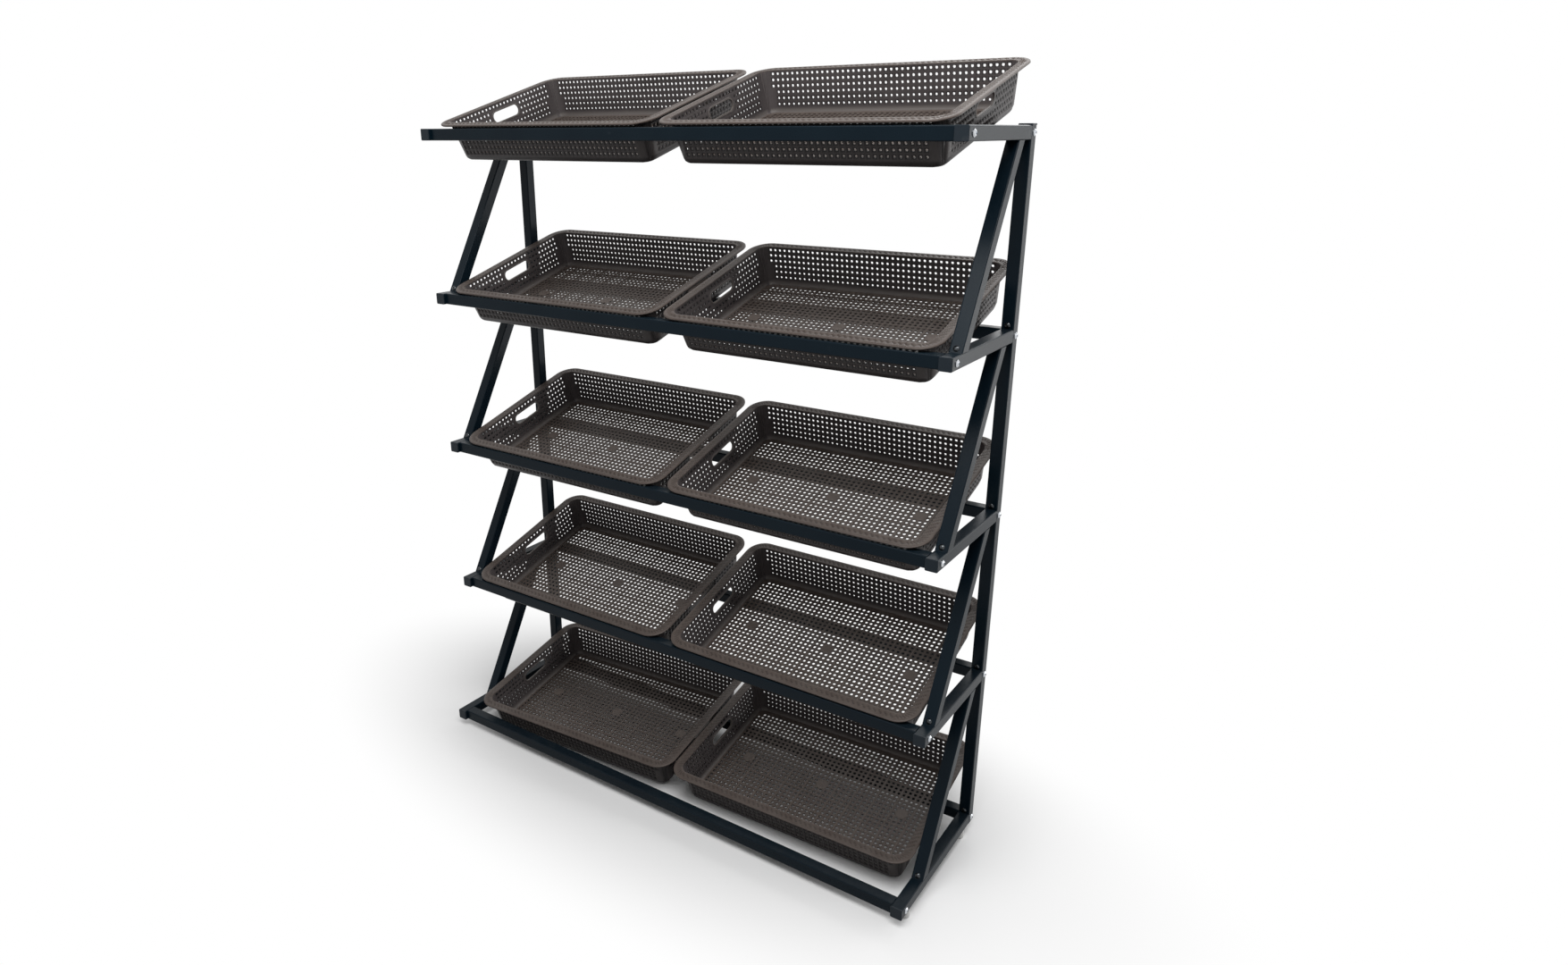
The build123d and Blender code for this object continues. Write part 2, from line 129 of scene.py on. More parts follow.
class Effects:
    """The shared shader node groups: fine grain, rubbed patches and settled dust."""

    # How softly patches end, how far scratches are drawn out, and the spans of noise and slope in the masks.
    PATCH_EDGE = 0.16
    SCRATCH_STRETCH = (40.0, 9.0, 160.0)
    SCRATCH_SPAN = (0.42, 0.66)
    LYING_SPAN = (0.55, 0.98)
    CLOUD_SPAN = (0.35, 0.75)
    CLOUD_SHARES = (0.25, 1.0)

    def __init__(self) -> None:
        """Builds each group once."""
        self.grain = self._grain()
        self.rubbed = self._rubbed()
        self.dust = self._dust()

    @staticmethod
    def _new(
            name: str, inputs: dict[str, float],
            outputs: tuple[str, ...]) -> tuple[Sketch, bpy.types.Node, bpy.types.Node]:
        """Starts a node group.

        Args:
            name: The group's name.
            inputs: Its number inputs and their first values; a vector input named Vector comes first.
            outputs: Its number outputs.

        Returns:
            The group's sketch, its input node and its output node.
        """
        tree = bpy.data.node_groups.new(name, "ShaderNodeTree")
        tree.interface.new_socket("Vector", in_out="INPUT", socket_type="NodeSocketVector")
        for label, value in inputs.items():
            socket = tree.interface.new_socket(label, in_out="INPUT", socket_type="NodeSocketFloat")
            socket.default_value = value
        for label in outputs:
            tree.interface.new_socket(label, in_out="OUTPUT", socket_type="NodeSocketFloat")
        return Sketch(tree), tree.nodes.new("NodeGroupInput"), tree.nodes.new("NodeGroupOutput")

    def _grain(self) -> bpy.types.NodeTree:
        """Makes a fine pebbled skin with slow drifts in tone.

        Returns:
            The node group.
        """
        sketch, given, result = self._new("fine_grain", {"Scale": 900.0, "Drift": 6.0}, ("Height", "Tone"))
        vector, scale, drift = (given.outputs[n] for n in ("Vector", "Scale", "Drift"))
        fine = sketch.add("TexNoise", {"Vector": vector, "Scale": scale, "Detail": 2.0, "Roughness": 0.5})
        slow = sketch.add("TexNoise", {"Vector": vector, "Scale": drift, "Detail": 4.0, "Roughness": 0.6})
        sketch.tree.links.new(fine.outputs[0], result.inputs["Height"])
        sketch.tree.links.new(slow.outputs[0], result.inputs["Tone"])
        return sketch.tree

    def _rubbed(self) -> bpy.types.NodeTree:
        """Makes a mask of rubbed patches broken up by short scratches.

        Returns:
            The node group.
        """
        sketch, given, result = self._new("rubbed_patches", {"Scale": 14.0, "Start": 0.58}, ("Mask",))
        vector, scale, start = (given.outputs[n] for n in ("Vector", "Scale", "Start"))
        patch = sketch.add("TexNoise", {"Vector": vector, "Scale": scale, "Detail": 5.0, "Roughness": 0.65})
        stretch = sketch.add("VectorMath", {0: vector, 1: self.SCRATCH_STRETCH}, operation="MULTIPLY")
        lines = sketch.add("TexNoise", {"Vector": stretch.outputs[0], "Scale": 1.0, "Detail": 3.0})
        far = sketch.math("ADD", start, self.PATCH_EDGE)
        share = sketch.add("MapRange", {"Value": patch.outputs[0], "From Min": start, "From Max": far})
        scratched = sketch.remap(lines.outputs[0], self.SCRATCH_SPAN, WHOLE)
        mask = sketch.math("MULTIPLY", share.outputs[0], scratched)
        sketch.tree.links.new(mask, result.inputs["Mask"])
        return sketch.tree

    def _dust(self) -> bpy.types.NodeTree:
        """Makes a mask of thin dust that lies on faces that look up.

        Returns:
            The node group.
        """
        sketch, given, result = self._new("settled_dust", {"Amount": 0.3}, ("Mask",))
        vector, amount = given.outputs["Vector"], given.outputs["Amount"]
        facing = sketch.add("SeparateXYZ", {0: sketch.add("NewGeometry").outputs["Normal"]})
        level = sketch.remap(facing.outputs["Z"], self.LYING_SPAN, WHOLE)
        cloud = sketch.add("TexNoise", {"Vector": vector, "Scale": 22.0, "Detail": 6.0, "Roughness": 0.7})
        patchy = sketch.remap(cloud.outputs[0], self.CLOUD_SPAN, self.CLOUD_SHARES)
        mask = sketch.math("MULTIPLY", sketch.math("MULTIPLY", level, patchy), amount)
        sketch.tree.links.new(mask, result.inputs["Mask"])
        return sketch.tree


@dataclass(frozen=True)
class Finish:
    """A surface finish: its colours, gloss and skin.

    Attributes:
        name: The material's name.
        colour: The main colour.
        shade: The colour that slow drifts lean towards.
        worn: The colour of rubbed patches; on moulded pieces also of the marked proud spots, partly rubbed
            wear and partly painted highlight.
        gloss: Roughness of clean and of rubbed surface.
        wear: Where on the patch noise rubbing starts; higher is less.
        dust: How much dust lies on faces that look up.
        grain: Size of the skin's pebbles, as a noise scale.
        relief: Depth of the skin in metres.
        metallic: 1 for metal.
        specular: Strength of the surface reflection.
        hollow: The colour of the painted shade laid in hollows, where a piece marks them.
        moulded: True where the piece carries its own place and its marks of painted shade and painted
            highlight.
    """

    # The span that most noise lies in, how far the skin spreads the gloss, and the dust.
    NOISE_SPAN = (0.3, 0.7)
    GLOSS_SPREAD = 0.04
    DUST_COLOUR = (0.42, 0.40, 0.37)
    DUST_ROUGHNESS = 0.4

    name: str
    colour: Colour
    shade: Colour
    worn: Colour
    gloss: Pair = (0.4, 0.6)
    wear: float = 0.6
    dust: float = 0.0
    grain: float = 900.0
    relief: float = 0.05 * MM
    metallic: float = 0.0
    specular: float = 0.5
    hollow: Colour = (0.0, 0.0, 0.0)
    moulded: bool = False

    def material(self, effects: Effects) -> bpy.types.Material:
        """Builds the node material.

        Args:
            effects: The shared node groups.

        Returns:
            The material.
        """
        material = bpy.data.materials.new(self.name)
        sketch = Sketch.afresh(material)
        vector = self._coordinates(sketch)
        grain = sketch.add("Group", {"Vector": vector, "Scale": self.grain}, node_tree=effects.grain)
        patches = sketch.add("Group", {"Vector": vector, "Start": self.wear}, node_tree=effects.rubbed)
        settled = sketch.add("Group", {"Vector": vector, "Amount": self.dust}, node_tree=effects.dust)
        rubbed, dust = patches.outputs["Mask"], settled.outputs["Mask"]
        drift = sketch.remap(grain.outputs["Tone"], self.NOISE_SPAN, WHOLE)
        colour = sketch.tint(rubbed, sketch.tint(drift, self.colour, self.shade), self.worn)
        if self.moulded:
            # Moulded pieces get painted shade in their marked hollows and painted highlight, with rubbed
            # wear, on proud spots.
            colour = self._paint_shade_and_highlight(sketch, colour)
        dusty = sketch.tint(dust, colour, self.DUST_COLOUR)
        clean, worn = self.gloss
        height = grain.outputs["Height"]
        rough = sketch.remap(height, self.NOISE_SPAN, (clean - self.GLOSS_SPREAD, clean + self.GLOSS_SPREAD))
        rough = sketch.math("ADD", rough, sketch.math("MULTIPLY", rubbed, worn - clean))
        rough = sketch.math("ADD", rough, sketch.math("MULTIPLY", dust, self.DUST_ROUGHNESS))
        bump = sketch.add("Bump", {"Height": height, "Distance": self.relief, "Strength": 1.0})
        shader = sketch.add("BsdfPrincipled", {
            "Base Color": dusty, "Roughness": rough, "Normal": bump.outputs[0],
            "Metallic": self.metallic, "Specular IOR Level": self.specular})
        sketch.add("OutputMaterial", {"Surface": shader.outputs[0]})
        return material

    def _paint_shade_and_highlight(self, sketch: Sketch, colour: Socket) -> Socket:
        """Paints shade into the marked hollows, and lightens the marked proud spots as painted highlight and
        rubbed wear.

        Args:
            sketch: The material's nodes.
            colour: The colour so far.

        Returns:
            The marked colour.
        """
        mark = sketch.add("Attribute", attribute_name=SHADE_AND_WEAR_MARKS).outputs["Fac"]
        # Painted shade in the hollows, then the worn colour on proud spots as painted highlight and rubbed
        # wear.
        with_painted_shade = sketch.tint(sketch.remap(mark, (-1.0, 0.0), (1.0, 0.0)), colour, self.hollow)
        return sketch.tint(sketch.remap(mark, WHOLE, WHOLE), with_painted_shade, self.worn)

    def _coordinates(self, sketch: Sketch) -> Socket:
        """Picks the coordinates that the finish is drawn in.

        Args:
            sketch: The material's nodes.

        Returns:
            The piece's own place where it carries one, or the object's coordinates.
        """
        if self.moulded:
            return sketch.add("Attribute", attribute_name=PLACE).outputs["Vector"]
        return sketch.add("TexCoord").outputs["Object"]


class Finishes(Enum):
    """Every finish on the rack."""

    COAT = Finish(
        "frame_powder_coat", (0.0024, 0.0078, 0.0132), (0.0038, 0.0102, 0.0162), (0.018, 0.026, 0.032),
        gloss=(0.30, 0.46), wear=0.66, dust=0.02, grain=1400.0, relief=0.03 * MM, specular=0.09)
    CAP = Finish(
        "cap_black_plastic", (0.011, 0.017, 0.023), (0.015, 0.021, 0.028), (0.034, 0.040, 0.046),
        gloss=(0.48, 0.6), wear=0.6, dust=0.04, grain=1800.0, relief=0.06 * MM, specular=0.15)
    ZINC = Finish(
        "zinc_plated_steel", (0.56, 0.58, 0.60), (0.48, 0.50, 0.53), (0.40, 0.40, 0.40),
        gloss=(0.22, 0.42), wear=0.6, grain=2400.0, relief=0.01 * MM, metallic=1.0)
    SCREW = Finish(
        "blackened_screw_steel", (0.060, 0.064, 0.068), (0.048, 0.052, 0.056), (0.20, 0.20, 0.20),
        gloss=(0.20, 0.4), wear=0.6, grain=2400.0, relief=0.01 * MM, metallic=1.0)
    STEEL = Finish(
        "bare_steel", (0.50, 0.50, 0.51), (0.42, 0.42, 0.43), (0.36, 0.34, 0.32),
        gloss=(0.36, 0.55), wear=0.55, grain=1500.0, relief=0.02 * MM, metallic=1.0)
    GLIDE = Finish(
        "glide_white_plastic", (0.82, 0.82, 0.80), (0.76, 0.76, 0.74), (0.58, 0.57, 0.54),
        gloss=(0.38, 0.55), wear=0.64, grain=1200.0, relief=0.04 * MM)
    # One plastic in three lit and shaded copies: the wall, floor and rim colours, and their painted shade
    # colours, are set apart to match how each part is lit.
    WALL = Finish(
        "basket_wall_plastic", (0.074, 0.064, 0.064), (0.061, 0.053, 0.053), (0.130, 0.116, 0.106),
        gloss=(0.40, 0.55), wear=0.64, dust=0.05, grain=700.0, relief=0.10 * MM, specular=0.18,
        hollow=(0.014, 0.012, 0.012), moulded=True)
    FLOOR = Finish(
        "basket_floor_plastic", (0.074, 0.056, 0.048), (0.063, 0.047, 0.040), (0.122, 0.096, 0.083),
        gloss=(0.42, 0.55), wear=0.62, dust=0.08, grain=700.0, relief=0.10 * MM, specular=0.25,
        hollow=(0.029, 0.022, 0.019), moulded=True)
    RIM = Finish(
        "basket_rim_plastic", (0.066, 0.049, 0.042), (0.055, 0.041, 0.035), (0.110, 0.086, 0.074),
        gloss=(0.42, 0.55), wear=0.60, dust=0.08, grain=700.0, relief=0.10 * MM, specular=0.25,
        hollow=(0.014, 0.010, 0.009), moulded=True)


class Side(Enum):
    """The two sides of the rack."""

    LEFT = "left"
    RIGHT = "right"


@dataclass(frozen=True)
class Outline:
    """A rounded rectangle about the basket's centre, in metres.

    Attributes:
        half_length: Half its length, along x.
        half_depth: Half its depth, along y.
        corner: Radius of its corners.
    """

    half_length: float
    half_depth: float
    corner: float

    def on_arc(self, turn: float) -> Vector:
        """Returns the point on the +x +y corner, turned from the back wall towards the end wall."""
        centre = Vector((self.half_length - self.corner, self.half_depth - self.corner))
        return centre + self.corner * Vector((math.sin(turn), math.cos(turn)))

    def turn(self, reach: float, half: float) -> float:
        """Returns how far round its corner a wall of that half length has turned at that reach."""
        return math.asin(min(1.0, max(0.0, (reach - half + self.corner) / self.corner)))

    def clamp(self, point: Vector) -> Vector:
        """Pulls a point that lies outside a rounded corner back onto it.

        Args:
            point: The flat point.

        Returns:
            The point on the corner, or the same point where it lies inside.
        """
        inner = Vector((self.half_length - self.corner, self.half_depth - self.corner))
        past = Vector((max(0.0, abs(point.x) - inner.x), max(0.0, abs(point.y) - inner.y)))
        if past.length <= self.corner:
            return point
        held = inner + past.normalized() * self.corner
        return Vector((math.copysign(held.x, point.x), math.copysign(held.y, point.y)))


@dataclass(frozen=True)
class BasketShape:
    """The basket's sizes, in metres.

    Its own frame has its origin under the floor's centre, x along its length and y to its back.
    """

    # The rim over its outer edge, how far it stands out from the walls, and the overall height.
    rim_length: float = 600.0 * MM
    rim_depth: float = 400.0 * MM
    rim_corner: float = 45.0 * MM
    rim_width: float = 19.5 * MM
    height: float = 88.0 * MM
    # The walls, how far inside the rim they meet the floor, and their bottom edge's radii, outside and in.
    wall: float = 2.4 * MM
    floor_inset: float = 31.0 * MM
    floor_corner: float = 24.0 * MM
    floor_edge: float = 12.0 * MM
    inner_edge: float = 9.0 * MM
    # The floor's upper face, its sheet, the ring under its edge, and how far it runs into the walls.
    floor_top: float = 4.4 * MM
    floor_sheet: float = 1.6 * MM
    ring_top: float = 3.0 * MM
    overlap: float = 0.2 * MM
    # Spacing of the holes along a wall and in the floor, and of the wall's rows, and its top row's height.
    pitch: float = 11.87 * MM
    row_pitch: float = 12.0 * MM
    top_row: float = 80.5 * MM
    # Width of the wall's top holes, how much smaller each row down is, width of the floor's holes, and the
    # share of a hole's width that is cut off at its corners.
    top_hole: float = 5.5 * MM
    hole_step: float = 0.22 * MM
    floor_hole: float = 6.4 * MM
    hole_corner: float = 0.24
    # Relief of crossings outside, of strands between two holes of a row inside, and of beads and borders.
    crossing: float = 1.4 * MM
    dip: float = 0.7 * MM
    bead: float = 0.9 * MM
    # The hand slots and their border.
    slot_length: float = 85.0 * MM
    slot_height: float = 22.7 * MM
    slot_border: float = 3.4 * MM
    slot_centre: float = 57.6 * MM
    # The plain discs and the ribs: their width, how far they show above the floor, their lower face's height,
    # and how far their edges are broken.
    disc: float = 28.0 * MM
    disc_rise: float = 0.35 * MM
    disc_foot: float = 0.6 * MM
    disc_break: float = 0.3 * MM
    rib: float = 1.5 * MM
    rib_rise: float = 0.4 * MM
    rib_foot: float = 0.3 * MM
    rib_break: float = 0.4 * MM
    # Depth of the strokes in the rim.
    stroke: float = 1.4 * MM

    @property
    def draft(self) -> float:
        """The lean of the walls."""
        return math.atan2(self.floor_inset - self.rim_width, self.height)

    def wall_outline(self, level: float, depth_in: float) -> Outline:
        """Works out the walls' outline.

        Args:
            level: The height to take it at.
            depth_in: How far into the wall it lies, from the outer face.

        Returns:
            The outline.
        """
        share = level / self.height
        inset = self.floor_inset + (self.rim_width - self.floor_inset) * share + depth_in
        corner = self.floor_corner + (self.rim_corner - self.rim_width - self.floor_corner) * share - depth_in
        return Outline(self.rim_length / 2 - inset, self.rim_depth / 2 - inset, corner)


@dataclass(frozen=True)
class ShadeAndWearMarks:
    """How far each spot of a basket is darkened, down to -1, or lightened, up to 1: mostly painted shade and
    painted highlight.
    """

    # The outer face, darker all over, and crossings there and in the floor, lighter partly as rubbed wear and
    # partly as painted highlight. Pits are its holes' edges and the rim's strokes, darkened as painted shade.
    outer_wall: float = -0.6
    crossing: float = 0.3
    pit: float = -1.0
    # The inner wall: crossings, lightened a little; strands between two holes of a row and holes' other
    # edges, darkened as painted shade; and beads, lightened as painted highlight, also along the rounded
    # bottom edge.
    inner_crossing: float = 0.1
    strand: float = -0.8
    lip: float = -0.2
    bead: float = 0.5
    # Borders of the hand slots, lightened as painted highlight; the floor between its crossings, darkened as
    # painted shade; and the plain shells, ribs, discs and rim, lightened as painted highlight.
    slot_border: float = 0.6
    floor: float = -0.6
    rib: float = 0.9
    disc: float = 0.5
    rim: float = 0.2


class Layout:
    """Where the flat cell grids of a basket go on its form."""

    # Cells along a long wall and an end wall, rows of holes, and rows of cells round the bottom edge.
    LONG = 44
    END = 26
    ROWS = 6
    EDGE_ROWS = 3
    # Column lines across a plain corner, as shares of it, and the ones that are beads.
    STRIP = (0.0, 0.30, 0.36, 0.42, 0.58, 0.64, 0.70, 1.0)
    BEADS = (2, 5)
    # Rows further below the top than this have one hole fewer at each end.
    FEWER_BELOW = 3
    # The cells that a hand slot takes: to each side of the end wall's middle, and between rows below the top.
    SLOT_REACH = 4
    SLOT_ROWS = (1, 4)

    def __init__(self, shape: BasketShape) -> None:
        """Works out the grid and the rows' heights.

        Args:
            shape: The basket's sizes.
        """
        self.shape = shape
        self.strip = len(self.STRIP) - 1
        self.quarter = (self.LONG + self.END) // 2 + self.strip
        self.columns = 4 * self.quarter
        self.first_row = self.EDGE_ROWS + 1
        self.rows = self.first_row + self.ROWS
        self.cells_top = shape.top_row + shape.row_pitch / 2
        self.cells_bottom = self.cells_top - self.ROWS * shape.row_pitch

    def level(self, row: float, outer: bool) -> tuple[float, Outline]:
        """Returns the height and outline of a row line of the wall band.

        Args:
            row: Row number from the bottom; may fall between lines.
            outer: True for the outer face, False for the inner one.

        Returns:
            The height and the outline there.
        """
        shape = self.shape
        radius = shape.floor_edge if outer else shape.inner_edge
        foot = 0.0 if outer else shape.ring_top
        depth_in = 0.0 if outer else shape.wall
        meets = foot + radius * (1.0 - math.sin(shape.draft))
        if row >= self.first_row:
            height = self.cells_bottom + (row - self.first_row) * shape.row_pitch
            return height, shape.wall_outline(height, depth_in)
        if row >= self.EDGE_ROWS:
            height = meets + (row - self.EDGE_ROWS) * (self.cells_bottom - meets)
            return height, shape.wall_outline(height, depth_in)
        swing = (math.pi / 2 - shape.draft) * row / self.EDGE_ROWS
        top = shape.wall_outline(meets, depth_in)
        back_off = radius * (math.cos(shape.draft) - math.sin(swing))
        outline = Outline(top.half_length - back_off, top.half_depth - back_off, top.corner - back_off)
        return foot + radius * (1.0 - math.cos(swing)), outline

    def on_wall(self, column: float, row: float, outer: bool, lift: float) -> Vector:
        """Works out a point of the wall band.

        Args:
            column: Column number round the basket.
            row: Row number from the bottom.
            outer: True for the outer face, False for the inner one.
            lift: How far outwards from its face the point lies.

        Returns:
            The point in the basket's frame.
        """
        faces: dict[bool, Vector] = {}
        for face in (True, False):
            height, outline = self.level(row, face)
            _, anchor = self.level(max(row, self.first_row), face)
            faces[face] = Vector((*self.around(column, outline, anchor), height))
        outward = faces[True] - faces[False]
        outward.z = 0.0
        return faces[outer] + outward.normalized() * lift

    def around(self, column: float, outline: Outline, anchor: Outline, even: bool = False) -> Vector:
        """Returns the flat point of an outline at a column.

        Args:
            column: Column number round the basket, from the middle of the back wall.
            outline: The outline that the point lies on.
            anchor: The outline that the columns are spaced on.
            even: True to space the corner strip's columns evenly.

        Returns:
            The point's x and y.
        """
        # The quarters follow each other from the back right one to the front right, front left and back left.
        quadrant, within = divmod(column % self.columns, self.quarter)
        if quadrant in (1, 3):
            within = self.quarter - within
        past = within - self.LONG / 2
        share = past / self.strip if even or not 0.0 < past < self.strip else self._strip_share(past)
        point = self._in_quarter(within, share, outline, anchor)
        flip_x = -1.0 if quadrant in (2, 3) else 1.0
        flip_y = -1.0 if quadrant in (1, 2) else 1.0
        return Vector((flip_x * point.x, flip_y * point.y))

    def _in_quarter(self, column: float, share: float, outline: Outline, anchor: Outline) -> Vector:
        """Returns the point at a column of the +x +y quarter.

        Args:
            column: Column number from the middle of the back wall.
            share: How far across the corner strip the column lies.
            outline: The outline that the point lies on.
            anchor: The outline that the columns are spaced on.

        Returns:
            The point's x and y.
        """
        pitch = self.shape.pitch
        long_half, end_half = self.LONG / 2, self.END / 2
        first = anchor.turn(long_half * pitch, anchor.half_length)
        last = math.pi / 2 - anchor.turn(end_half * pitch, anchor.half_depth)
        if column <= long_half:
            turn = anchor.turn(column * pitch, anchor.half_length)
            return outline.on_arc(turn) if turn > 0.0 else Vector((column * pitch, outline.half_depth))
        column -= long_half
        if column <= self.strip:
            return outline.on_arc(first + (last - first) * share)
        column = end_half - (column - self.strip)
        turn = anchor.turn(column * pitch, anchor.half_depth)
        if turn > 0.0:
            return outline.on_arc(math.pi / 2 - turn)
        return Vector((outline.half_length, column * pitch))

    def _strip_share(self, column: float) -> float:
        """Returns how far across the corner strip a column line lies."""
        low = min(int(column + SEAM), self.strip - 1)
        return self.STRIP[low] + (self.STRIP[low + 1] - self.STRIP[low]) * (column - low)

    def fold(self, column: float) -> float:
        """Returns a column's distance from the middle of the nearest long wall."""
        column %= 2 * self.quarter
        return min(column, 2 * self.quarter - column)

    def from_end(self, column: float) -> float:
        """Returns a column's distance from the middle of the nearest end wall."""
        return self.quarter - self.fold(column)

    def has_hole(self, column: float, row: float) -> bool:
        """Tells whether a cell of the wall is pierced.

        Args:
            column: Column number of the cell's centre.
            row: Row number of the cell's centre.

        Returns:
            True where it is.
        """
        below_top = self.rows - row
        if not 0.0 < below_top < self.ROWS:
            return False
        fewer = 1 if below_top > self.FEWER_BELOW else 0
        return self.fold(column) < self.LONG / 2 - fewer or self.from_end(column) < self.END / 2 - fewer

    def in_slot_block(self, column: float, row: float) -> bool:
        """Tells whether the cell centred at a column and row gives way to a hand slot."""
        first, last = self.SLOT_ROWS
        return self.from_end(column) < self.SLOT_REACH and first < self.rows - row < last

    def slot_distance(self, column: float, row: float) -> float:
        """Measures how far a point of the wall lies from the hand slot's middle line.

        Args:
            column: Column number round the basket.
            row: Row number from the bottom.

        Returns:
            The distance in metres.
        """
        shape = self.shape
        across = self.from_end(column) * shape.pitch
        up = self.cells_bottom + (row - self.first_row) * shape.row_pitch - shape.slot_centre
        straight = (shape.slot_length - shape.slot_height) / 2
        return math.hypot(max(0.0, across - straight), up)


class BasketBuilder:
    """Models one basket in its own frame, as closed shells of moulded plastic."""

    WALL_SLOT, FLOOR_SLOT, RIM_SLOT = range(3)
    # Edges that turn by more than this are shown sharp.
    SHARP = math.radians(40.0)
    # Number given to the cells to pierce, and the sides of a hole with blunted corners.
    HOLE_MARK = 1
    HOLE_SIDES = 8
    # Rings of a hand slot's border, as shares of its width, and the small inset that starts each ring.
    SLOT_RINGS = (1.0, 0.75, 0.0)
    RING_START = 0.01
    # How far out the wall round a slot is proud, and then plain, as shares of the border.
    SLOT_PROUD = 0.9
    SLOT_PLAIN = 1.5
    # Discs and ribs, in floor cells from the middle.
    DISC_LINES = (-17, 0, 17)
    DISC_SEGMENTS = 28
    RIB_LINES = (3, 7, 11, 15, 19)
    # How far a hole's edge is moved off a rib, and the distances from the rib at which it is.
    RIB_MARGIN = 0.055
    BESIDE_RIB = (0.05, 0.4)
    # Steps round the rim to each column, and points of its section in millimetres: in from its outer edge,
    # and up from its top. Strokes are pressed into some of the points.
    RIM_STEPS = 4
    RIM_SECTION = (
        (21.9, -2.0), (21.6, -0.5), (20.4, 0.0), (17.6, -0.1), (14.8, -0.15), (12.0, -0.15), (9.2, -0.15),
        (6.2, -0.1), (3.4, 0.0), (1.3, -0.35), (0.2, -1.4), (0.3, -3.0), (1.5, -4.0), (19.0, -4.0),
        (21.7, -5.5))
    LONG_STROKES = (4, 5, 6)
    END_STROKES = (2, 3, 4, 5, 6)

    def __init__(self, shape: BasketShape, shade_and_wear: ShadeAndWearMarks) -> None:
        """Keeps the sizes and marks and works out the layout.

        Args:
            shape: The basket's sizes.
            shade_and_wear: Its marks of painted shade, painted highlight and rubbed wear.
        """
        self.shape = shape
        self.shade_and_wear = shade_and_wear
        self.layout = Layout(shape)

    def mesh(self) -> bpy.types.Mesh:
        """Builds every shell of the basket.

        Returns:
            The basket's mesh, with each point's place in the basket as an attribute.
        """
        whole = bmesh.new()
        whole.verts.layers.float.new(SHADE_AND_WEAR_MARKS)
        self._join(whole, self._walls(), self.WALL_SLOT)
        for shell in (self._floor(), self._ribs(), self._discs()):
            self._join(whole, shell, self.FLOOR_SLOT)
        self._join(whole, self._rim(), self.RIM_SLOT)
        mesh = bpy.data.meshes.new("basket")
        whole.to_mesh(mesh)
        whole.free()
        mesh.shade_smooth()
        mesh.set_sharp_from_angle(angle=self.SHARP)
        place = mesh.attributes.new(PLACE, "FLOAT_VECTOR", "POINT")
        points = np.empty(len(mesh.vertices) * 3, np.float32)
        mesh.vertices.foreach_get("co", points)
        place.data.foreach_set("vector", points)
        return mesh

    @staticmethod
    def _join(whole: Shell, shell: Shell, slot: int) -> None:
        """Turns a shell's faces outwards, gives them a material slot and adds it to the basket.

        Args:
            whole: The basket so far.
            shell: The shell, which is used up.
            slot: Number of the material slot.
        """
        bmesh.ops.recalc_face_normals(shell, faces=shell.faces[:])
        for face in shell.faces:
            face.material_index = slot
        part = bpy.data.meshes.new("shell")
        shell.to_mesh(part)
        shell.free()
        whole.from_mesh(part)
        bpy.data.meshes.remove(part)

    @staticmethod
    def _grid(columns: int, rows: int, middle: Pair) -> Shell:
        """Starts a flat sheet whose cells are 1 wide.

        Args:
            columns: Number of cells along x.
            rows: Number of cells along y.
            middle: Where the sheet's centre lies.

        Returns:
            The sheet.
        """
        sheet = bmesh.new()
        spread = Matrix.Translation((*middle, 0.0)) @ Matrix.Diagonal((columns / 2, rows / 2, 1.0, 1.0))
        bmesh.ops.create_grid(sheet, x_segments=columns, y_segments=rows, size=1.0, matrix=spread)
        return sheet

    @staticmethod
    def _thicken(sheet: Shell) -> float:
        """Gives a flat sheet a thickness of 1.

        Args:
            sheet: The flat sheet.

        Returns:
            The level half-way between the two faces.
        """
        bmesh.ops.recalc_face_normals(sheet, faces=sheet.faces[:])
        bmesh.ops.solidify(sheet, geom=sheet.faces[:], thickness=1.0)
        levels = [corner.co.z for corner in sheet.verts]
        return (min(levels) + max(levels)) / 2

    @staticmethod
    def _blunt(shell: Shell, parts: Corners | Edges, width: float) -> None:
        """Cuts edges, or the corners of flat holes, with one plain slant.

        Args:
            shell: The shell they belong to.
            parts: The edges or corners.
            width: How far the slant reaches.
        """
        affect = "EDGES" if isinstance(parts[0], bmesh.types.BMEdge) else "VERTICES"
        bmesh.ops.bevel(
            shell, geom=parts, offset=width, offset_type="OFFSET", segments=1, profile=0.5,
            affect=affect, material=-1)

    @staticmethod
    def _edges_at(corners: Corners, level: float) -> Edges:
        """Returns the edges between some corners that lie at a height, each once."""
        edges = dict.fromkeys(edge for corner in corners for edge in corner.link_edges)
        return [edge for edge in edges if all(abs(end.co.z - level) < SEAM for end in edge.verts)]

    def _pierce(self, sheet: Shell, cells: list[Face], hole: float) -> None:
        """Cuts a hole with blunted corners in each of some cells of a flat sheet whose cells are 1 wide.

        Args:
            sheet: The flat sheet.
            cells: The cells.
            hole: The holes' width in metres.
        """
        width = hole / self.shape.pitch
        bmesh.ops.inset_individual(sheet, faces=cells, thickness=(1.0 - width) / 2, use_even_offset=True)
        corners = list(dict.fromkeys(corner for cell in cells for corner in cell.verts))
        for cell in cells:
            cell.material_index = self.HOLE_MARK
        self._blunt(sheet, corners, self.shape.hole_corner * width)
        marked = (face for face in sheet.faces if face.material_index == self.HOLE_MARK)
        centres = [face for face in marked if len(face.verts) == self.HOLE_SIDES]
        bmesh.ops.delete(sheet, geom=centres, context="FACES")

